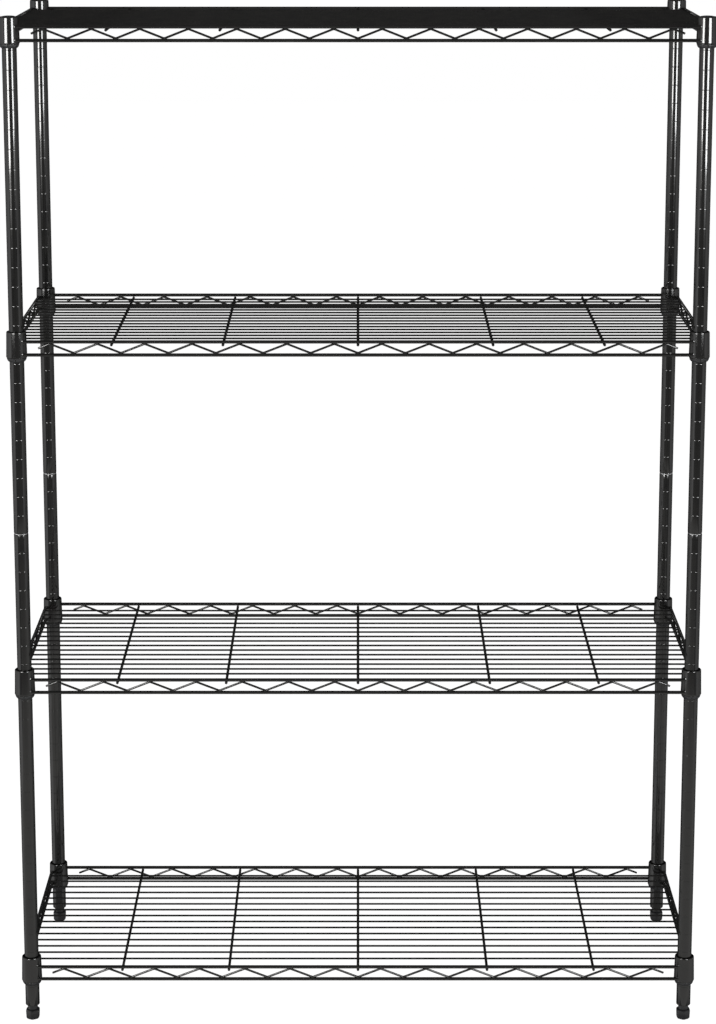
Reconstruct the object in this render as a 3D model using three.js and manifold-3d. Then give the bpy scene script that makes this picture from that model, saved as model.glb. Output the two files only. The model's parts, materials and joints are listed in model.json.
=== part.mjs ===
// A four-shelf wire shelving rack of the kind that builds without tools. Split plastic sleeves snap
// on grooved posts, and each shelf's tapered corner collars wedge down over them.
// Millimetres, +Z up, +X to the right, +Y to the back. The origin is on the floor, at the centre of
// the footprint, with the levelling feet screwed all the way in.

import * as THREE from "three";
import { mergeVertices } from "three/addons/utils/BufferGeometryUtils.js";
import Module from "manifold-3d";

const wasm = await Module();
wasm.setup();

// Driving dimensions
const INCH = 25.4;
const WIDTH = 36 * INCH;
const DEPTH = 14 * INCH;
const ROUND_SIDES = 12;
const GAP = 0.3; // between pieces that touch

// Posts: two tubes each, screwed together, grooved every inch from the joint
const POST_RADIUS = 0.375 * INCH;
const TUBE_WALL = 1;
const POST_BOTTOM = 20;
const JOINT_Z = 683;
const TUBE_TOP = 1358.5;
const CAP_TOP = 1361;
const INSERT_LENGTH = 20; // the threaded plug pressed into a tube's end

// Collars and the split sleeves inside them, measured from the groove that holds the sleeve
const COLLAR_TOP = 16.5;
const COLLAR_BOTTOM = -17.5;
const COLLAR_TOP_RADIUS = 12.9;
const COLLAR_BOTTOM_RADIUS = 13.7;
const BORE_TOP_RADIUS = 11.3;
const BORE_BOTTOM_RADIUS = 12.3;
const SLEEVE_TOP = 14;
const SLEEVE_BOTTOM = -23;
const SLEEVE_FLANGE_RADIUS = 13; // the collar rests on this flange
const SLEEVE_TIP_RADIUS = 10.6;

const POST_X = WIDTH / 2 - COLLAR_BOTTOM_RADIUS;
const POST_Y = DEPTH / 2 - COLLAR_BOTTOM_RADIUS;

// Shelves: each one's groove, counted from the joint, lowest shelf first
const SHELF_GROOVES = [-24, -8, 10, 26];
const TOP_RIM = 4.2; // centre of the upper rim wire, above the groove
const RIM_DROP = 17.3; // from the upper rim wire to the lower one
const RIM_WIRE = 4.5;
const TRUSS_THICKNESS = 3;
const ZIGZAG_WIRE = 2.9;
const ZIGZAG_STEP = 30.7; // from a bend of the zigzag wire to the next
const BEND_INSET = 2.6; // from a rim wire's centre to the bends welded on its inner side
const LONG_TRUSS_Y = 173.6;
const LONG_TRUSS_HALF = 431.9; // its rims reach the collars
const LONG_TRUSS_BENDS = 13; // on each side of the middle one
const SIDE_TRUSS_X = 453;
const SIDE_TRUSS_BENDS = 4;

// Deck: long wires across the width, lying on a few cross wires
const LONG_WIRE = 2.6;
const LONG_WIRE_COUNT = 15;
const LONG_WIRE_PITCH = 20.625;
const CROSS_WIRE = 3.6;
const CROSS_WIRE_X = [-319.5, -175, 0, 175, 319.5];
const DECK_SEAM = 1.5; // where long and cross wires are welded, above the groove

// Levelling feet: a 3/8 in threaded stem moulded into a hexagonal base
const STEM_RADIUS = 0.1875 * INCH;
const STEM_TOP = 52; // below the lowest collar
const HEX_HEIGHT = 13.5;
const HEX_ACROSS_FLATS = 18;
const NECK_RADIUS = 6.8;

// Joint stud: a threaded rod with a thin shoulder between the two tubes
const STUD_RADIUS = 5;
const STUD_REACH = 16;
const SHOULDER_RADIUS = 9.2;
const SHOULDER_HALF = 0.6;

const CORNERS = [
  { name: "front_left", x: -POST_X, y: -POST_Y },
  { name: "front_right", x: POST_X, y: -POST_Y },
  { name: "back_left", x: -POST_X, y: POST_Y },
  { name: "back_right", x: POST_X, y: POST_Y },
];

const material = (color, roughness, metalness) =>
  new THREE.MeshStandardMaterial({ color, roughness, metalness });
const blackSteel = material(0x1c1c1d, 0.35, 0.3);
const blackPlastic = material(0x151516, 0.55, 0);
const zincSteel = material(0xb8babd, 0.35, 0.9);

const group = new THREE.Group();

function addPiece(name, geometry, look) {
  const mesh = new THREE.Mesh(geometry, look.clone());
  mesh.name = name;
  group.add(mesh);
}

function solidOf(geometry) {
  const bare = geometry.clone();
  bare.deleteAttribute("normal");
  bare.deleteAttribute("uv");
  const merged = mergeVertices(bare, 1e-4);
  const mesh = new wasm.Mesh({
    numProp: 3,
    vertProperties: merged.attributes.position.array,
    triVerts: new Uint32Array(merged.index.array),
  });
  return new wasm.Manifold(mesh);
}

function geometryOf(solid) {
  const mesh = solid.getMesh();
  const geometry = new THREE.BufferGeometry();
  geometry.setAttribute("position", new THREE.BufferAttribute(mesh.vertProperties, 3));
  geometry.setIndex(new THREE.BufferAttribute(mesh.triVerts, 1));
  return geometry;
}

const join = (solids) => solids.reduce((whole, next) => whole.add(next));

// A turned piece from its [radius, height] outline, listed from the bottom up on the outside.
function turned(outline, sides = ROUND_SIDES) {
  const points = outline.map(([radius, height]) => new THREE.Vector2(radius, height));
  return new THREE.LatheGeometry(points, sides).rotateX(Math.PI / 2);
}

// The outline of a turned piece with a hole through it closes on itself.
const turnedRing = (outline) => turned([...outline, outline[0]]);

function box(low, high) {
  const size = high.map((value, i) => value - low[i]);
  const centre = high.map((value, i) => (value + low[i]) / 2);
  return new THREE.BoxGeometry(...size).translate(...centre);
}

// --- Posts ---

function lowerTube() {
  const inner = POST_RADIUS - TUBE_WALL;
  const top = JOINT_Z - SHOULDER_HALF - GAP;
  return turnedRing([
    [POST_RADIUS, POST_BOTTOM],
    [POST_RADIUS, top],
    [STUD_RADIUS + GAP, top],
    [STUD_RADIUS + GAP, top - INSERT_LENGTH],
    [inner, top - INSERT_LENGTH],
    [inner, POST_BOTTOM + INSERT_LENGTH],
    [STEM_RADIUS + GAP, POST_BOTTOM + INSERT_LENGTH],
    [STEM_RADIUS + GAP, POST_BOTTOM],
  ]);
}

function upperTube() {
  const inner = POST_RADIUS - TUBE_WALL;
  const bottom = JOINT_Z + SHOULDER_HALF + GAP;
  return turnedRing([
    [POST_RADIUS, bottom],
    [POST_RADIUS, TUBE_TOP],
    [inner, TUBE_TOP],
    [inner, bottom + INSERT_LENGTH],
    [STUD_RADIUS + GAP, bottom + INSERT_LENGTH],
    [STUD_RADIUS + GAP, bottom],
  ]);
}

function jointStud() {
  return turned([
    [0, JOINT_Z - STUD_REACH],
    [STUD_RADIUS, JOINT_Z - STUD_REACH],
    [STUD_RADIUS, JOINT_Z - SHOULDER_HALF],
    [SHOULDER_RADIUS, JOINT_Z - SHOULDER_HALF],
    [SHOULDER_RADIUS, JOINT_Z + SHOULDER_HALF],
    [STUD_RADIUS, JOINT_Z + SHOULDER_HALF],
    [STUD_RADIUS, JOINT_Z + STUD_REACH],
    [0, JOINT_Z + STUD_REACH],
  ]);
}

// A plug pushed into the upper tube, with a low crowned head over the tube's end.
function endCap() {
  const plugRadius = POST_RADIUS - TUBE_WALL - GAP;
  const plugLength = 11;
  const crownRadius = 6.5;
  const edgeHeight = 1;
  const seat = TUBE_TOP + GAP;
  return turned([
    [0, TUBE_TOP - plugLength],
    [plugRadius, TUBE_TOP - plugLength],
    [plugRadius, seat],
    [POST_RADIUS, seat],
    [POST_RADIUS, seat + edgeHeight],
    [crownRadius, CAP_TOP],
    [0, CAP_TOP],
  ]);
}

// --- Levelling feet ---

function footStem() {
  return turned([
    [0, POST_BOTTOM],
    [STEM_RADIUS, POST_BOTTOM],
    [STEM_RADIUS, STEM_TOP],
    [0, STEM_TOP],
  ]);
}

// A hexagonal foot, slightly narrower at the floor, with a round neck that seats under the post.
function footBase() {
  const cornerRadius = HEX_ACROSS_FLATS / Math.sqrt(3);
  const chamferHeight = 1.5;
  const lowerChamfer = 1;
  const upperChamfer = 2;
  const hexagon = turned(
    [
      [0, 0],
      [cornerRadius - lowerChamfer, 0],
      [cornerRadius, chamferHeight],
      [cornerRadius, HEX_HEIGHT - chamferHeight],
      [cornerRadius - upperChamfer, HEX_HEIGHT],
      [0, HEX_HEIGHT],
    ],
    6,
  );
  const neckBottom = HEX_HEIGHT - 1; // inside the hexagon
  const neck = turned([
    [0, neckBottom],
    [NECK_RADIUS, neckBottom],
    [NECK_RADIUS, POST_BOTTOM - GAP],
    [0, POST_BOTTOM - GAP],
  ]);
  return geometryOf(join([solidOf(hexagon), solidOf(neck)]));
}

// --- Sleeves and shelves, each made with its groove at height zero ---

// The two halves of a sleeve, closed round the post. Below the collar they end in a bowl-shaped
// flange.
function sleeve() {
  const bore = POST_RADIUS + GAP;
  const flangeTop = COLLAR_BOTTOM - GAP;
  const bowlRadius = SLEEVE_FLANGE_RADIUS - 0.6;
  const bowlHeight = 2.5; // below the flange's top
  return turnedRing([
    [SLEEVE_TIP_RADIUS, SLEEVE_BOTTOM],
    [bowlRadius, flangeTop - bowlHeight],
    [SLEEVE_FLANGE_RADIUS, flangeTop],
    [BORE_BOTTOM_RADIUS - GAP, flangeTop],
    [BORE_TOP_RADIUS - GAP, SLEEVE_TOP],
    [bore, SLEEVE_TOP],
    [bore, SLEEVE_BOTTOM],
  ]);
}

// A flat lattice of two rims and the zigzag wire between them, in the X-Z plane.
// The zigzag wire's tails end half way down at each end.
function lattice(halfLength, bendCount, middleBendIsHigh) {
  const high = TOP_RIM + RIM_WIRE / 2;
  const low = TOP_RIM - RIM_DROP - RIM_WIRE / 2;
  const half = TRUSS_THICKNESS / 2;
  const rims = [
    solidOf(box([-halfLength, -half, high - RIM_WIRE], [halfLength, half, high])),
    solidOf(box([-halfLength, -half, low], [halfLength, half, low + RIM_WIRE])),
  ];
  const tail = [(bendCount + 0.5) * ZIGZAG_STEP, TOP_RIM - RIM_DROP / 2];
  const bends = [[-tail[0], tail[1]]];
  for (let i = -bendCount; i <= bendCount; i++) {
    const isHigh = (i % 2 === 0) === middleBendIsHigh;
    const height = isHigh ? TOP_RIM - BEND_INSET : TOP_RIM - RIM_DROP + BEND_INSET;
    bends.push([i * ZIGZAG_STEP, height]);
  }
  bends.push(tail);
  const wire = new THREE.ExtrudeGeometry(zigzagOutline(bends), {
    depth: TRUSS_THICKNESS,
    bevelEnabled: false,
  });
  wire.rotateX(Math.PI / 2).translate(0, half, 0);
  return join([...rims, solidOf(wire)]);
}

// The zigzag wire as a band of even height, so that its upper and lower edges follow the bends.
function zigzagOutline(bends) {
  const rise = RIM_DROP - 2 * BEND_INSET;
  const slope = Math.hypot(ZIGZAG_STEP, rise) / ZIGZAG_STEP;
  const half = (ZIGZAG_WIRE / 2) * slope;
  const upper = bends.map(([x, z]) => new THREE.Vector2(x, z + half));
  const lower = bends.map(([x, z]) => new THREE.Vector2(x, z - half));
  return new THREE.Shape([...upper, ...lower.reverse()]);
}

function longTruss(y) {
  return lattice(LONG_TRUSS_HALF, LONG_TRUSS_BENDS, false).translate([0, y, 0]);
}

// A side rim with the front and back collars welded to its ends.
function shelfEnd(side) {
  const rim = lattice(POST_Y, SIDE_TRUSS_BENDS, true);
  const alongY = solidOf(geometryOf(rim).rotateZ(Math.PI / 2));
  const pieces = [alongY.translate([side * SIDE_TRUSS_X, 0, 0])];
  const collar = solidOf(
    turned([
      [0, COLLAR_BOTTOM],
      [COLLAR_BOTTOM_RADIUS, COLLAR_BOTTOM],
      [COLLAR_TOP_RADIUS, COLLAR_TOP],
      [0, COLLAR_TOP],
    ]),
  );
  const slope = (BORE_TOP_RADIUS - BORE_BOTTOM_RADIUS) / (COLLAR_TOP - COLLAR_BOTTOM);
  const past = 5; // how far the tapered cutter runs out of the collar at each end
  const cutter = solidOf(
    turned([
      [0, COLLAR_BOTTOM - past],
      [BORE_BOTTOM_RADIUS - slope * past, COLLAR_BOTTOM - past],
      [BORE_TOP_RADIUS + slope * past, COLLAR_TOP + past],
      [0, COLLAR_TOP + past],
    ]),
  );
  const places = [-POST_Y, POST_Y].map((y) => [side * POST_X, y, 0]);
  const whole = join([...pieces, ...places.map((place) => collar.translate(place))]);
  return places.reduce((solid, place) => solid.subtract(cutter.translate(place)), whole);
}

function deck() {
  const wires = [];
  const outermost = ((LONG_WIRE_COUNT - 1) / 2) * LONG_WIRE_PITCH;
  const crossHalf = LONG_TRUSS_Y - TRUSS_THICKNESS / 2 - GAP;
  const longHalf = SIDE_TRUSS_X - TRUSS_THICKNESS / 2 - GAP;
  for (let i = 0; i < LONG_WIRE_COUNT; i++) {
    const y = i * LONG_WIRE_PITCH - outermost;
    const half = LONG_WIRE / 2;
    const top = DECK_SEAM + LONG_WIRE;
    wires.push(solidOf(box([-longHalf, y - half, DECK_SEAM], [longHalf, y + half, top])));
  }
  for (const x of CROSS_WIRE_X) {
    const half = CROSS_WIRE / 2;
    const bottom = DECK_SEAM - CROSS_WIRE;
    wires.push(solidOf(box([x - half, -crossHalf, bottom], [x + half, crossHalf, DECK_SEAM])));
  }
  return join(wires);
}

// --- Assembly ---

for (const corner of CORNERS) {
  const place = (geometry) => geometry.translate(corner.x, corner.y, 0);
  addPiece(`upper_tube_${corner.name}`, place(upperTube()), blackSteel);
  addPiece(`lower_tube_${corner.name}`, place(lowerTube()), blackSteel);
  addPiece(`joint_stud_${corner.name}`, place(jointStud()), zincSteel);
  addPiece(`end_cap_${corner.name}`, place(endCap()), blackPlastic);
  addPiece(`foot_stem_${corner.name}`, place(footStem()), zincSteel);
  addPiece(`foot_base_${corner.name}`, place(footBase()), blackPlastic);
}

SHELF_GROOVES.forEach((groove, index) => {
  const z = JOINT_Z + groove * INCH;
  const shelf = `shelf_${index + 1}`;
  const raised = (solid) => geometryOf(solid).translate(0, 0, z);
  addPiece(`${shelf}_deck`, raised(deck()), blackSteel);
  addPiece(`${shelf}_front_truss`, raised(longTruss(-LONG_TRUSS_Y)), blackSteel);
  addPiece(`${shelf}_back_truss`, raised(longTruss(LONG_TRUSS_Y)), blackSteel);
  addPiece(`${shelf}_left_end`, raised(shelfEnd(-1)), blackSteel);
  addPiece(`${shelf}_right_end`, raised(shelfEnd(1)), blackSteel);
  for (const corner of CORNERS) {
    const placed = sleeve().translate(corner.x, corner.y, z);
    addPiece(`sleeve_${index + 1}_${corner.name}`, placed, blackPlastic);
  }
});

export default group;
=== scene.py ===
import json
import math

import bmesh
import bpy
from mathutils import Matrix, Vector

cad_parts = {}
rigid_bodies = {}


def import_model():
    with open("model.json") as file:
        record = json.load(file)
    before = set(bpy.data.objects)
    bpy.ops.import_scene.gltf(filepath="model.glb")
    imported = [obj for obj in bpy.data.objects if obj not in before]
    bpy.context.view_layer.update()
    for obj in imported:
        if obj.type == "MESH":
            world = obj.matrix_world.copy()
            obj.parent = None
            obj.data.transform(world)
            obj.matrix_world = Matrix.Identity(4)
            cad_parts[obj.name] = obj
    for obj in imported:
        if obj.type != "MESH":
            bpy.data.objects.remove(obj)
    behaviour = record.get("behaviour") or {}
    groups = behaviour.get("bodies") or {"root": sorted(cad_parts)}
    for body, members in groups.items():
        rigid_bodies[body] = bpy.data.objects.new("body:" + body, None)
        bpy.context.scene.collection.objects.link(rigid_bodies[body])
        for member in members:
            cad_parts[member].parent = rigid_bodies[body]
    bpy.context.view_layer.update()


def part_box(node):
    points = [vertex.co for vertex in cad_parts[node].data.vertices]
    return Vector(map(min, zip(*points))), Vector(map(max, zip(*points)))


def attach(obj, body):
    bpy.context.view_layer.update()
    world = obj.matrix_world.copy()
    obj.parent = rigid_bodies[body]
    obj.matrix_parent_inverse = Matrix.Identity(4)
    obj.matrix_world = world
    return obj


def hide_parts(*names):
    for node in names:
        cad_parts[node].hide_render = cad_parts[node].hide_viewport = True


# The wire shelving rack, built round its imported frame. Metres, +Z up, +X right, +Y back.
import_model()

MM = 0.001
INCH = 0.0254

CORNERS = ("front_left", "front_right", "back_left", "back_right")
SHELVES = (1, 2, 3, 4)
LONG_SIDES = ("front", "back")
COATED, PLASTIC, ZINC = "black_coated_steel", "black_plastic", "zinc_steel"

# Wires, as radii
RIM = 2.25 * MM
ZIGZAG = 1.45 * MM
LONG_WIRE = 1.3 * MM
CROSS_WIRE = 1.85 * MM
# How far parts are from a rim wire's centre
BEND_INSET = 2.6 * MM
LONG_WIRE_BELOW_RIM = 1.1 * MM
CROSS_WIRE_BELOW_RIM = 4.1 * MM
# The deck
LONG_WIRE_COUNT = 15
LONG_WIRE_PITCH = 20.625 * MM
CROSS_WIRE_X = [x * MM for x in (-319.5, -175, 0, 175, 319.5)]
CROSS_WIRE_PAST_RIM = 1.2 * MM
# The zigzag wires
ZIGZAG_STEP = 30.7 * MM
LONG_TRUSS_BENDS = 13
SIDE_TRUSS_BENDS = 4
# The rim wires
RIM_TO_POST = 9.5 * MM  # from a rim wire to the post's axis, seen from above
RIM_END = 9.3 * MM  # from a rim wire's end on the collar to the post's axis
# Posts
TUBE_WALL = 1 * MM
TUBE_EDGE = 0.7 * MM  # how far a tube's outer edges are rounded
EASE = 0.2 * MM  # how far a sharp edge is eased
GROOVE_DEPTH = 0.12 * MM
GROOVE_HALF = 0.5 * MM
GROOVE_SHOULDER = 0.25 * MM  # a flat edge beside each groove, so that its shading stays crisp
GROOVE_CLEAR = 4 * MM  # a groove is left out where it would run into the tube's end
SHARP_ANGLE = math.radians(38)  # shading is smooth across edges that bend less than this
# How the names begin of the pieces that the strip reflectors light
LIT_BY_STRIPS = ("grooved_", "moulded_", "collar_", "sleeve_", "threaded_",
                 "zigzag_1_", "zigzag_2_", "zigzag_3_")


# --- Places read from the frame ---

def centre(node):
    low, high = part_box(node)
    return (low + high) / 2


def radius(node):
    low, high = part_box(node)
    return (high.x - low.x) / 2


POST_RADIUS = radius("upper_tube_front_left")
JOINT_Z = centre("joint_stud_front_left").z
TUBE_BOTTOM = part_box("lower_tube_front_left")[0].z
TUBE_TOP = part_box("upper_tube_front_left")[1].z
POST_AXIS = {corner: Vector(centre(f"upper_tube_{corner}").xy) for corner in CORNERS}
POST_X = POST_AXIS["back_right"].x
POST_Y = POST_AXIS["back_right"].y
FRONT_RIM_Y = POST_Y + RIM_TO_POST
SIDE_RIM_X = POST_X + RIM_TO_POST


def rim_heights(shelf):
    """The upper and lower rim wires' centre heights."""
    low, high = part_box(f"shelf_{shelf}_front_truss")
    return high.z - RIM, low.z + RIM


# --- Mesh building ---

class Shape:
    """The vertices and faces of one piece, gathered from closed parts."""

    def __init__(self):
        self.vertices = []
        self.faces = []

    def loft(self, loops, ring=False):
        """Bridges loops of the same length. A ring joins the last to the first; else both are capped."""
        start, count = len(self.vertices), len(loops[0])
        for loop in loops:
            self.vertices.extend(loop)
        spans = len(loops) if ring else len(loops) - 1
        for i in range(spans):
            here = start + i * count
            there = start + (i + 1) % len(loops) * count
            for j in range(count):
                k = (j + 1) % count
                self.faces.append((here + j, here + k, there + k, there + j))
        if not ring:
            self.faces.append(tuple(range(start + count - 1, start - 1, -1)))
            last = start + (len(loops) - 1) * count
            self.faces.append(tuple(range(last, last + count)))

    def piece(self, name, body, node, slot, material):
        """Makes the Blender object, which rides on a body and stands for a CAD node."""
        mesh = bpy.data.meshes.new(name)
        mesh.from_pydata([tuple(v) for v in self.vertices], [], self.faces)
        work = bmesh.new()
        work.from_mesh(mesh)
        bmesh.ops.recalc_face_normals(work, faces=work.faces)
        work.to_mesh(mesh)
        work.free()
        mesh.polygons.foreach_set("use_smooth", [True] * len(mesh.polygons))
        mesh.set_sharp_from_angle(angle=SHARP_ANGLE)
        mesh.materials.append(material)
        obj = bpy.data.objects.new(name, mesh)
        bpy.context.scene.collection.objects.link(obj)
        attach(obj, body)
        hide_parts(node)


def circle(middle, side, up, reach, sides):
    """A loop of points round middle, in the plane of two unit vectors."""
    turns = [2 * math.pi * i / sides for i in range(sides)]
    return [middle + reach * (math.cos(t) * side + math.sin(t) * up) for t in turns]


def turned(shape, outline, axis, sides, ring=False):
    """A lathe-turned part from its (radius, height) outline."""
    side, up = Vector((1, 0, 0)), Vector((0, 1, 0))
    loops = [circle(Vector((*axis, z)), side, up, r, sides) for r, z in outline]
    shape.loft(loops, ring)


def turned_arc(shape, outline, axis, start, end, steps):
    """Part of a turned ring, from one angle to another."""
    loops = []
    for i in range(steps + 1):
        angle = start + (end - start) * i / steps
        out = Vector((math.cos(angle), math.sin(angle), 0))
        loops.append([Vector((*axis, z)) + out * r for r, z in outline])
    shape.loft(loops)


def wire(shape, path, thickness, sides=12):
    """A round wire along a path, with rounded ends."""
    directions = [(b - a).normalized() for a, b in zip(path, path[1:])]
    tangents = [directions[0]]
    tangents += [(a + b).normalized() for a, b in zip(directions, directions[1:])]
    tangents.append(directions[-1])
    normal = Vector((0, 0, 1)).cross(tangents[0]).normalized()
    loops = []
    for point, tangent in zip(path, tangents):
        side = (normal - normal.dot(tangent) * tangent).normalized()
        loops.append(circle(point, side, tangent.cross(side), thickness, sides))
    loops = end_loops(path[0], tangents[0], normal, thickness, sides, -1)[::-1] + loops[1:-1]
    loops += end_loops(path[-1], tangents[-1], normal, thickness, sides, 1)
    shape.loft(loops)


def end_loops(tip, tangent, normal, thickness, sides, way):
    """The loops that round off a wire's cut end, from the full round to the flat of the cut."""
    side = (normal - normal.dot(tangent) * tangent).normalized()
    up = tangent.cross(side)
    corner, steps = 0.45 * thickness, 3
    loops = []
    for step in range(steps + 1):
        turn = math.pi / 2 * step / steps
        back = corner * (1 - math.sin(turn))
        reach = thickness - corner * (1 - math.cos(turn))
        loops.append(circle(tip - way * back * tangent, side, up, reach, sides))
    return loops


def blob(shape, middle, reach, sides=12, rows=5):
    """A weld bead: an ellipsoid with its poles cut flat. reach holds its three half-sizes."""
    loops = []
    for row in range(1, rows):
        polar = math.pi * row / rows
        z = reach[2] * math.cos(polar)
        ring = []
        for i in range(sides):
            turn = 2 * math.pi * i / sides
            x = reach[0] * math.sin(polar) * math.cos(turn)
            y = reach[1] * math.sin(polar) * math.sin(turn)
            ring.append(middle + Vector((x, y, z)))
        loops.append(ring)
    shape.loft(loops)


def rounded_path(corners, bend_radius, steps=5):
    """A path with each inner corner turned into an arc."""
    path = [corners[0]]
    for before, corner, after in zip(corners, corners[1:], corners[2:]):
        back, on = (before - corner).normalized(), (after - corner).normalized()
        half = back.angle(on) / 2
        reach = bend_radius / math.tan(half)
        middle = corner + (back + on).normalized() * (bend_radius / math.sin(half))
        first, last = corner + back * reach - middle, corner + on * reach - middle
        swing = first.angle(last)
        for i in range(steps + 1):
            t = i / steps
            bent = first * math.sin((1 - t) * swing) + last * math.sin(t * swing)
            path.append(middle + bent / math.sin(swing))
    path.append(corners[-1])
    return path


# --- Materials ---

def node_material(name):
    material = bpy.data.materials.new(name)
    material.use_nodes = True
    nodes, links = material.node_tree.nodes, material.node_tree.links
    place = nodes.new("ShaderNodeTexCoord").outputs["Object"]
    return material, nodes, links, nodes["Principled BSDF"], place


def noise(nodes, links, place, scale, detail=3.0):
    texture = nodes.new("ShaderNodeTexNoise")
    texture.inputs["Scale"].default_value = scale
    texture.inputs["Detail"].default_value = detail
    links.new(place, texture.inputs["Vector"])
    return texture.outputs["Fac"]


def spread(nodes, links, value, low, high, target):
    """Drives a number between low and high from a noise value."""
    scaled = nodes.new("ShaderNodeMapRange")
    scaled.inputs["From Min"].default_value = 0.3
    scaled.inputs["From Max"].default_value = 0.7
    scaled.inputs["To Min"].default_value = low
    scaled.inputs["To Max"].default_value = high
    links.new(value, scaled.inputs["Value"])
    links.new(scaled.outputs["Result"], target)


def shades(nodes, links, value, dark, light, target):
    """Drives a colour between two shades from a noise value."""
    ramp = nodes.new("ShaderNodeValToRGB")
    ramp.color_ramp.elements[0].position = 0.3
    ramp.color_ramp.elements[0].color = (*dark, 1)
    ramp.color_ramp.elements[1].position = 0.7
    ramp.color_ramp.elements[1].color = (*light, 1)
    links.new(value, ramp.inputs["Fac"])
    links.new(ramp.outputs["Color"], target)


def bumpy(nodes, links, value, strength, distance, target):
    """Roughens a surface with bump from a noise value."""
    bump = nodes.new("ShaderNodeBump")
    bump.inputs["Strength"].default_value = strength
    bump.inputs["Distance"].default_value = distance
    links.new(value, bump.inputs["Height"])
    links.new(bump.outputs["Normal"], target)


def powder_coat(name, roughness, peel_scale, peel):
    """Black powder coat, with the fine dimples of orange peel and slightly uneven gloss."""
    material, nodes, links, shader, place = node_material(name)
    dark, light = (0.009, 0.0088, 0.0088), (0.014, 0.0135, 0.0125)
    shades(nodes, links, noise(nodes, links, place, 40), dark, light, shader.inputs["Base Color"])
    spread(nodes, links, noise(nodes, links, place, 150), roughness * 0.85, roughness * 1.2,
           shader.inputs["Roughness"])
    dimples = noise(nodes, links, place, peel_scale, 2.0)
    bumpy(nodes, links, dimples, peel, 0.04 * MM, shader.inputs["Normal"])
    shader.inputs["IOR"].default_value = 1.5
    return material


def moulded_plastic():
    """Satin black nylon, with a fine mould texture."""
    material, nodes, links, shader, place = node_material("satin_black_plastic")
    dark, light = (0.010, 0.0105, 0.012), (0.016, 0.0165, 0.018)
    shades(nodes, links, noise(nodes, links, place, 60), dark, light, shader.inputs["Base Color"])
    spread(nodes, links, noise(nodes, links, place, 300), 0.34, 0.5,
           shader.inputs["Roughness"])
    fine = noise(nodes, links, place, 1800, 2.0)
    bumpy(nodes, links, fine, 0.3, 0.05 * MM, shader.inputs["Normal"])
    return material


def zinc_plate():
    """Bright zinc plate, a little cloudy, with turning marks round the part."""
    material, nodes, links, shader, place = node_material("bright_zinc_plate")
    shader.inputs["Metallic"].default_value = 1
    dark, light = (0.52, 0.53, 0.55), (0.74, 0.74, 0.73)
    shades(nodes, links, noise(nodes, links, place, 220), dark, light, shader.inputs["Base Color"])
    spread(nodes, links, noise(nodes, links, place, 500), 0.2, 0.38,
           shader.inputs["Roughness"])
    marks = nodes.new("ShaderNodeTexWave")
    marks.wave_type = "BANDS"
    marks.bands_direction = "Z"
    marks.inputs["Scale"].default_value = 900
    marks.inputs["Distortion"].default_value = 0.4
    links.new(place, marks.inputs["Vector"])
    bumpy(nodes, links, marks.outputs["Fac"], 0.2, 0.03 * MM, shader.inputs["Normal"])
    return material


tube_coat = powder_coat("gloss_black_tube_coat", roughness=0.05, peel_scale=450, peel=0.025)
wire_coat = powder_coat("gloss_black_wire_coat", roughness=0.1, peel_scale=300, peel=0.05)
zigzag_coat = powder_coat("satin_black_wire_coat", roughness=0.2, peel_scale=300, peel=0.05)
collar_coat = powder_coat("gloss_black_collar_coat", roughness=0.1, peel_scale=350, peel=0.08)
plastic = moulded_plastic()
zinc = zinc_plate()


# --- Posts ---

def groove_profile():
    """A shallow rolled groove across a tube, as (depth, height) from its middle."""
    half, edge = GROOVE_HALF, GROOVE_HALF + GROOVE_SHOULDER
    rising = [(GROOVE_DEPTH, 0), (GROOVE_DEPTH * 0.85, half * 0.25)]
    rising += [(GROOVE_DEPTH * 0.5, half * 0.5), (GROOVE_DEPTH * 0.15, half * 0.75)]
    rising += [(0, half), (0, edge)]
    falling = [(depth, -height) for depth, height in rising[:0:-1]]
    return falling + rising


def tube_outline(bottom, top, bottom_bore, top_bore, bottom_depth, top_depth):
    """A grooved tube with a bore at each end, from its lower outer edge round to the bore."""
    outer = [(POST_RADIUS - TUBE_EDGE, bottom), (POST_RADIUS - EASE, bottom + EASE)]
    outer.append((POST_RADIUS, bottom + TUBE_EDGE))
    first = math.ceil((bottom + GROOVE_CLEAR - JOINT_Z) / INCH)
    last = math.floor((top - GROOVE_CLEAR - JOINT_Z) / INCH)
    for count in range(first, last + 1):
        z = JOINT_Z + count * INCH
        outer += [(POST_RADIUS - depth, z + height) for depth, height in groove_profile()]
    outer.append((POST_RADIUS, top - TUBE_EDGE))
    outer += [(POST_RADIUS - EASE, top - EASE), (POST_RADIUS - TUBE_EDGE, top)]
    inner_wall = POST_RADIUS - TUBE_WALL
    inner = [(top_bore, top), (top_bore, top - top_depth), (inner_wall, top - top_depth)]
    inner += [(inner_wall, bottom + bottom_depth), (bottom_bore, bottom + bottom_depth)]
    inner.append((bottom_bore, bottom))
    return outer + inner


def post(corner):
    """The two tubes, with threaded inserts where the foot and the joint stud go in."""
    insert, mouth = 20 * MM, 2 * MM
    stud_bore, stem_bore, cap_bore = 5.3 * MM, 5.06 * MM, 8.5 * MM
    ends = {
        "lower": (stem_bore, stud_bore, insert, insert),
        "upper": (stud_bore, cap_bore, insert, mouth),
    }
    for part, bores in ends.items():
        node = f"{part}_tube_{corner}"
        low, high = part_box(node)
        shape = Shape()
        turned(shape, tube_outline(low.z, high.z, *bores), POST_AXIS[corner], 72, ring=True)
        shape.piece(f"grooved_{node}", "posts", node, COATED, tube_coat)


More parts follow.
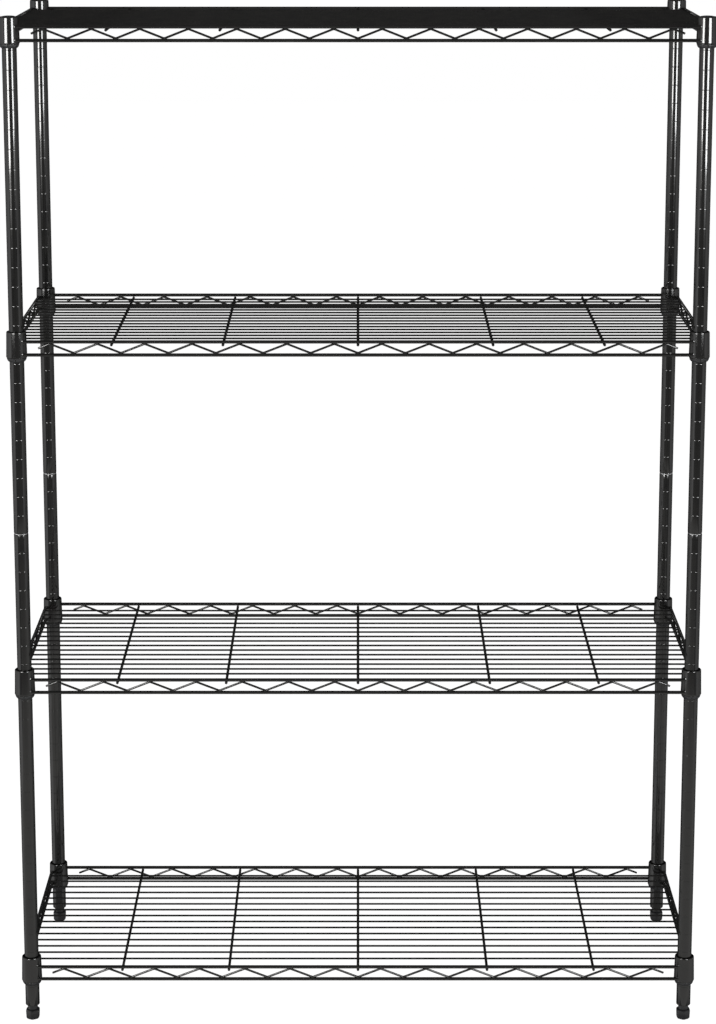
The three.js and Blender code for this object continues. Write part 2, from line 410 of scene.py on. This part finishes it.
def thread_outline(rod, bottom, top, pitch):
    """Blunt ridges up a rod, standing for its thread."""
    depth, count = pitch * 0.5, int((top - bottom) / pitch)
    root, crest = rod - depth, rod - 0.15 * depth
    outline = []
    for i in range(count):
        z = bottom + i * pitch
        outline += [(root, z), (crest, z + 0.4 * pitch), (crest, z + 0.6 * pitch)]
    outline.append((root, top))
    return outline


def joint_stud(corner):
    """A threaded rod with a thin shoulder that shows between the two tubes."""
    shape, axis = Shape(), POST_AXIS[corner]
    low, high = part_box(f"joint_stud_{corner}")
    rod, shoulder, half, pitch = 5 * MM, 9.2 * MM, 0.6 * MM, 1.5 * MM
    bottom, top = JOINT_Z - half, JOINT_Z + half
    outline = thread_outline(rod, low.z, bottom, pitch)
    outline += [(shoulder - EASE, bottom), (shoulder, bottom + EASE)]
    outline += [(shoulder, top - EASE), (shoulder - EASE, top)]
    outline += thread_outline(rod, top, high.z, pitch)
    turned(shape, outline, axis, 48)
    shape.piece(f"threaded_joint_stud_{corner}", "posts", f"joint_stud_{corner}", ZINC, zinc)


def end_cap(corner):
    """A plug with a low crowned head, and ribs round the stem that grip the tube."""
    shape, axis = Shape(), POST_AXIS[corner]
    low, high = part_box(f"end_cap_{corner}")
    gap, edge = 0.3 * MM, 0.3 * MM
    seat = TUBE_TOP + gap
    stem, rib, tip = 7.6 * MM, 8.2 * MM, 1 * MM
    rib_count, rib_pitch = 3, 2.5 * MM
    outline = [(stem - tip, low.z), (stem, low.z + tip)]
    for i in range(rib_count):
        z = low.z + 2 * tip + i * rib_pitch
        outline += [(stem, z), (rib, z + 0.8 * MM), (rib, z + 1.2 * MM), (stem, z + 1.6 * MM)]
    outline += [(stem, seat), (POST_RADIUS - 0.15 * MM, seat), (POST_RADIUS, seat + edge)]
    crown, flat_radius, steps = high.z - seat - edge, 2 * MM, 6
    for i in range(1, steps + 1):
        turn = math.pi / 2 * i / steps
        reach = flat_radius + (POST_RADIUS - flat_radius) * math.cos(turn) ** 0.6
        outline.append((reach, seat + edge + crown * math.sin(turn)))
    turned(shape, outline, axis, 56)
    shape.piece(f"moulded_end_cap_{corner}", "posts", f"end_cap_{corner}", PLASTIC, plastic)


# --- Levelling feet ---

def foot(corner):
    axis = POST_AXIS[corner]
    stem_node, base_node = f"foot_stem_{corner}", f"foot_base_{corner}"
    low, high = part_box(stem_node)
    rod, tip, tip_radius = 4.76 * MM, 1 * MM, 3 * MM
    stem = Shape()
    outline = thread_outline(rod, low.z, high.z - tip, INCH / 16)
    turned(stem, outline + [(tip_radius, high.z)], axis, 40)
    stem.piece(f"threaded_{stem_node}", stem_node, stem_node, ZINC, zinc)
    base = Shape()
    hexagon_base(base, axis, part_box(base_node)[1].z)
    base.piece(f"hexagonal_foot_{corner}", base_node, base_node, PLASTIC, plastic)


def hexagon_base(shape, axis, neck_top):
    """A hexagon with rounded corners, chamfered at both ends, running into a round neck."""
    flat, corner_cut, to_neck = 9 * MM, 0.6 * MM, 2.2 * MM
    levels = [  # height, how far the hexagon is drawn in, how round it is
        (0, 1.4 * MM, 0), (0.6 * MM, 0.9 * MM, 0), (1.6 * MM, 0.35 * MM, 0),
        (9 * MM, 0, 0), (11.6 * MM, 0, 0), (12.8 * MM, 0.5 * MM, 0.15),
        (13.5 * MM, 1.5 * MM, 0.6), (13.9 * MM, to_neck, 1),
        (neck_top - 0.5 * MM, to_neck, 1), (neck_top, to_neck + 0.5 * MM, 1),
    ]
    sides, per_side = 6, 8
    sector = 2 * math.pi / sides
    loops = []
    for z, inset, roundness in levels:
        from_axis = flat - inset
        limit = from_axis / math.cos(sector / 2) - corner_cut
        loop = []
        for i in range(sides * per_side):
            turn = sector * (i + 0.5) / per_side
            from_flat = (turn + sector / 2) % sector - sector / 2
            hexagonal = min(from_axis / math.cos(from_flat), limit)
            reach = hexagonal * (1 - roundness) + from_axis * roundness
            loop.append(Vector((axis.x + reach * math.cos(turn), axis.y + reach * math.sin(turn), z)))
        loops.append(loop)
    shape.loft(loops)


# --- Sleeves ---

def sleeve_halves(shelf, corner):
    """Two moulded half rings, tapered outside to wedge in the collar, with a bowl-shaped flange
    below it."""
    node = f"sleeve_{shelf}_{corner}"
    low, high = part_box(node)
    bore, bore_edge, gap = POST_RADIUS + 0.25 * MM, 0.4 * MM, math.radians(1.5)
    flange, flange_edge = radius(node), 0.3 * MM
    flange_top = low.z + 5.2 * MM
    bowl = [(10.4, 0), (10.9, 0.3), (11.6, 1.1), (12.3, 2.3), (12.8, 3.8)]  # in millimetres
    outline = [(bore, low.z + bore_edge), (bore + bore_edge, low.z)]
    outline += [(reach * MM, low.z + height * MM) for reach, height in bowl]
    outline += [(flange, flange_top - flange_edge), (flange - flange_edge, flange_top)]
    outline += [(12 * MM, flange_top), (11.95 * MM, flange_top + 0.6 * MM)]
    outline += [(11.05 * MM, high.z - 0.6 * MM), (10.7 * MM, high.z), (bore, high.z)]
    for half, side in enumerate(("left", "right")):
        shape = Shape()
        start = math.pi / 2 + half * math.pi
        turned_arc(shape, outline, POST_AXIS[corner], start + gap, start + math.pi - gap, 32)
        shape.piece(f"{node}_{side}_half", "posts", node, PLASTIC, plastic)


# --- Shelves ---

def truss(shelf, name, half_length, bends, middle_is_high, place):
    """Two rim wires and the bent wire between them. place turns (along, height) into a point."""
    high, low = rim_heights(shelf)
    rims, zigzag = Shape(), Shape()
    for z in (high, low):
        wire(rims, [place(-half_length, z), place(half_length, z)], RIM, 16)
    middle = (high + low) / 2
    tail = (bends + 0.5) * ZIGZAG_STEP
    corners = [place(-tail, middle)]
    runs_across = place(1, 0).x != place(0, 0).x
    weld = Vector((2.6, 1.7, 1.3)) if runs_across else Vector((1.7, 2.6, 1.3))
    toward_rim, bend_radius = 1 * MM, 4 * MM
    for i in range(-bends, bends + 1):
        is_high = (i % 2 == 0) == middle_is_high
        up = 1 if is_high else -1
        z = high - BEND_INSET if is_high else low + BEND_INSET
        corners.append(place(i * ZIGZAG_STEP, z))
        blob(rims, place(i * ZIGZAG_STEP, z + up * toward_rim), weld * MM)
    corners.append(place(tail, middle))
    wire(zigzag, rounded_path(corners, bend_radius), ZIGZAG)
    body = f"shelf_{shelf}"
    node = f"{body}_{name}_truss" if name in LONG_SIDES else f"{body}_{name}_end"
    rims.piece(f"rims_{shelf}_{name}", body, node, COATED, wire_coat)
    zigzag.piece(f"zigzag_{shelf}_{name}", body, node, COATED, zigzag_coat)


def long_truss(shelf, name, y):
    truss(shelf, name, POST_X - RIM_END, LONG_TRUSS_BENDS, False, lambda s, z: Vector((s, y, z)))


def shelf_end(shelf, name, side):
    """A side truss with a tapered collar at each end."""
    x = side * SIDE_RIM_X
    truss(shelf, name, POST_Y - RIM_END, SIDE_TRUSS_BENDS, True, lambda s, z: Vector((x, s, z)))
    node = f"shelf_{shelf}_{name}_end"
    for depth_name in LONG_SIDES:
        corner = f"{depth_name}_{name}"
        collar = Shape()
        tapered_collar(collar, node, POST_AXIS[corner])
        rim_welds(collar, shelf, POST_AXIS[corner])
        collar.piece(f"collar_{shelf}_{corner}", f"shelf_{shelf}", node, COATED, collar_coat)


def rim_welds(shape, shelf, axis):
    """The weld beads where four rim wires meet a collar."""
    along, across, up, inset = 3.4 * MM, 2.1 * MM, 2.9 * MM, 0.6 * MM
    side, depth = math.copysign(1, axis.x), math.copysign(1, axis.y)
    for z in rim_heights(shelf):
        long_end = Vector((axis.x - side * RIM_END, depth * (FRONT_RIM_Y - inset), z))
        blob(shape, long_end, [along, across, up])
        side_end = Vector((side * (SIDE_RIM_X - inset), axis.y - depth * RIM_END, z))
        blob(shape, side_end, [across, along, up])


def tapered_collar(shape, node, axis):
    """A cone-shaped ring with a rolled upper edge and an eased lower one."""
    low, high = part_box(node)
    bottom, top = low.z, high.z
    outer_bottom, outer_top = 13.7 * MM, 12.9 * MM
    bore_bottom, bore_top = 12.3 * MM, 11.3 * MM
    roll_height, roll_width, steps = 1.5 * MM, 1.1 * MM, 5
    ease, bore_edge = 0.5 * MM, 0.3 * MM
    outline = [
        (bore_bottom + bore_edge, bottom), (outer_bottom - ease, bottom),
        (outer_bottom - 0.3 * ease, bottom + 0.3 * ease), (outer_bottom, bottom + ease),
        (outer_bottom - 0.05 * MM, bottom + 2 * MM),
    ]
    for i in range(steps + 1):
        turn = math.pi / 2 * i / steps
        reach = outer_top - roll_width * (1 - math.cos(turn))
        outline.append((reach, top - roll_height * (1 - math.sin(turn))))
    outline += [(bore_top + EASE, top), (bore_top, top - EASE), (bore_bottom, bottom + bore_edge)]
    turned(shape, outline, axis, 72, ring=True)


def deck(shelf):
    """The long wires, lying on the cross wires with a weld bead at each crossing."""
    shape = Shape()
    high, _ = rim_heights(shelf)
    long_z, cross_z = high - LONG_WIRE_BELOW_RIM, high - CROSS_WIRE_BELOW_RIM
    weld, into_rim = [1.9 * MM, 1.9 * MM, 0.8 * MM], 0.3 * MM
    half_width = SIDE_RIM_X - RIM + into_rim
    half_depth = FRONT_RIM_Y + CROSS_WIRE_PAST_RIM
    rows = [(i - (LONG_WIRE_COUNT - 1) / 2) * LONG_WIRE_PITCH for i in range(LONG_WIRE_COUNT)]
    for y in rows:
        wire(shape, [Vector((-half_width, y, long_z)), Vector((half_width, y, long_z))],
             LONG_WIRE)
    for x in CROSS_WIRE_X:
        wire(shape, [Vector((x, -half_depth, cross_z)), Vector((x, half_depth, cross_z))],
             CROSS_WIRE, 14)
        for y in rows:
            blob(shape, Vector((x, y, long_z - LONG_WIRE)), weld, 10, 4)
    body = f"shelf_{shelf}"
    shape.piece(f"wire_deck_{shelf}", body, f"{body}_deck", COATED, wire_coat)


for corner in CORNERS:
    post(corner)
    joint_stud(corner)
    end_cap(corner)
    foot(corner)
for shelf in SHELVES:
    deck(shelf)
    long_truss(shelf, "front", -FRONT_RIM_Y)
    long_truss(shelf, "back", FRONT_RIM_Y)
    shelf_end(shelf, "left", -1)
    shelf_end(shelf, "right", 1)
    for corner in CORNERS:
        sleeve_halves(shelf, corner)


# --- Studio ---

def floor():
    """A pale seamless floor, just under the feet. Reflections leave it out."""
    reach, drop = 12, 0.3 * MM
    mesh = bpy.data.meshes.new("studio_floor")
    square = [(-reach, -reach, 0), (reach, -reach, 0), (reach, reach, 0), (-reach, reach, 0)]
    mesh.from_pydata(square, [], [(0, 1, 2, 3)])
    material, _, _, shader, _ = node_material("pale_floor")
    shader.inputs["Base Color"].default_value = (0.12, 0.12, 0.12, 1)
    shader.inputs["Roughness"].default_value = 1
    shader.inputs["Specular IOR Level"].default_value = 0
    shader.inputs["Emission Color"].default_value = (1, 1, 1, 1)
    shader.inputs["Emission Strength"].default_value = 0.98
    mesh.materials.append(material)
    obj = bpy.data.objects.new("studio_floor", mesh)
    obj.location.z = -drop
    obj.visible_glossy = False
    bpy.context.scene.collection.objects.link(obj)


def overhead_light():
    """A broad soft light above, for an even base tone."""
    light = bpy.data.lights.new("overhead_softbox", "AREA")
    light.shape = "RECTANGLE"
    light.size, light.size_y = 3.0, 3.0
    light.energy = 60
    obj = bpy.data.objects.new("overhead_softbox", light)
    obj.location = (0, -0.3, 3.4)
    obj.visible_glossy = False
    bpy.context.scene.collection.objects.link(obj)


def ramp_along(nodes, links, place, start, end, low, high):
    """A value that goes from low at start to high at end, and is level outside them."""
    ramp = nodes.new("ShaderNodeMapRange")
    ramp.inputs["From Min"].default_value = start
    ramp.inputs["From Max"].default_value = end
    ramp.inputs["To Min"].default_value = low
    ramp.inputs["To Max"].default_value = high
    links.new(place, ramp.inputs["Value"])
    return ramp.outputs["Result"]


def combined(nodes, links, operation, one, other):
    made = nodes.new("ShaderNodeMath")
    made.operation = operation
    links.new(one, made.inputs[0])
    links.new(other, made.inputs[1])
    return made.outputs["Value"]


def glowing_card(name, tint, along, levels):
    """A material whose glow follows levels, pairs of a place along the named axis and a strength
    there, in order."""
    material = bpy.data.materials.new(name)
    material.use_nodes = True
    nodes, links = material.node_tree.nodes, material.node_tree.links
    nodes.clear()
    place = nodes.new("ShaderNodeSeparateXYZ")
    links.new(nodes.new("ShaderNodeTexCoord").outputs["Object"], place.inputs["Vector"])
    glow = nodes.new("ShaderNodeEmission")
    glow.inputs["Color"].default_value = (*tint, 1)
    total = None
    for (start, low), (end, high) in zip(levels, levels[1:]):
        if total is None:
            total = ramp_along(nodes, links, place.outputs[along], start, end, low, high)
            continue
        change = ramp_along(nodes, links, place.outputs[along], start, end, 0, high - low)
        total = combined(nodes, links, "ADD", total, change)
    links.new(total, glow.inputs["Strength"])
    links.new(glow.outputs["Emission"], nodes.new("ShaderNodeOutputMaterial").inputs["Surface"])
    return material


def reflector(name, corners, tint, along, levels):
    """A glowing card that only shows in reflections."""
    mesh = bpy.data.meshes.new(name)
    mesh.from_pydata(corners, [], [(0, 1, 2, 3)])
    mesh.materials.append(glowing_card(name, tint, along, levels))
    obj = bpy.data.objects.new(name, mesh)
    for seen_by in ("camera", "diffuse", "shadow", "transmission", "volume_scatter"):
        setattr(obj, f"visible_{seen_by}", False)
    bpy.context.scene.collection.objects.link(obj)
    return obj


def strip_reflectors():
    """Two tall softboxes in front, to the left and right, that end above the lower shelves. Only
    the pieces named in LIT_BY_STRIPS catch them: the rim and deck wires stay dark."""
    lit = bpy.data.collections.new("lit_by_strips")
    for obj in bpy.context.scene.objects:
        if obj.name.startswith(LIT_BY_STRIPS):
            lit.objects.link(obj)
    inner, outer, near, far = 0.88, 1.58, -1.97, -1.54
    bottom, dim, edge, fading, faint, top = 0.68, 0.81, 0.95, 1.6, 2.0, 2.4
    bright = 27
    levels = [(bottom, 0), (dim, 0.7), (edge - 0.02, 5), (edge, bright), (fading, bright),
              (faint, 6), (top, 0)]
    tints = {-1: (1, 0.995, 0.98), 1: (0.98, 0.995, 1)}
    for name, side in (("strip_left", -1), ("strip_right", 1)):
        corners = [(side * inner, near, bottom), (side * outer, far, bottom),
                   (side * outer, far, top), (side * inner, near, top)]
        card = reflector(name, corners, tints[side], "Z", levels)
        card.light_linking.receiver_collection = lit


def floor_reflector():
    """The floor in front grows dim away from the rack, as the lower posts show it."""
    start, end, reach, height = -0.19, -8, 1.3, 0.5 * MM
    corners = [(-reach, end, height), (reach, end, height), (reach, start, height),
               (-reach, start, height)]
    levels = [(-3.6, 0.2), (-1.9, 0.42), (-1.0, 0.72), (start, 0.8)]
    reflector("dim_floor_front", corners, (1, 0.99, 0.96), "Y", levels)


def world():
    """White where the camera looks. In reflections the front glows a little, and the two sides
    more, fading toward the back. x and y are parts of the direction looked in."""
    made = bpy.data.worlds.new("studio")
    bpy.context.scene.world = made
    made.use_nodes = True
    nodes, links = made.node_tree.nodes, made.node_tree.links
    back = nodes["Background"]
    place = nodes.new("ShaderNodeSeparateXYZ")
    links.new(nodes.new("ShaderNodeTexCoord").outputs["Generated"], place.inputs["Vector"])
    x, y = place.outputs["X"], place.outputs["Y"]
    front = ramp_along(nodes, links, y, -0.5, 0.1, 0.25, 0.03)
    left = ramp_along(nodes, links, x, -0.7, -0.86, 0, 1.25)
    right = ramp_along(nodes, links, x, 0.7, 0.86, 0, 0.75)
    fade = ramp_along(nodes, links, y, -0.55, 0.75, 1, 0.2)
    sides = combined(nodes, links, "MULTIPLY", combined(nodes, links, "ADD", left, right), fade)
    seen = nodes.new("ShaderNodeLightPath")
    mix = nodes.new("ShaderNodeMix")
    links.new(seen.outputs["Is Camera Ray"], mix.inputs["Factor"])
    links.new(combined(nodes, links, "ADD", front, sides), mix.inputs["A"])
    mix.inputs["B"].default_value = 1
    links.new(mix.outputs["Result"], back.inputs["Strength"])
    back.inputs["Color"].default_value = (1, 1, 1, 1)


def camera():
    """In front of the rack, a little above its top shelf, tilted down."""
    distance, height, tilt = 3.517, 1.5965, math.radians(10.78)
    data = bpy.data.cameras.new("camera")
    data.sensor_width = 36
    data.lens = 92.51
    data.shift_y = -0.18
    obj = bpy.data.objects.new("camera", data)
    obj.location = (0, -distance, height)
    obj.rotation_euler = (math.pi / 2 - tilt, 0, 0)
    bpy.context.scene.collection.objects.link(obj)
    bpy.context.scene.camera = obj


floor()
overhead_light()
strip_reflectors()
floor_reflector()
world()
camera()
bpy.context.scene.view_settings.view_transform = "Standard"
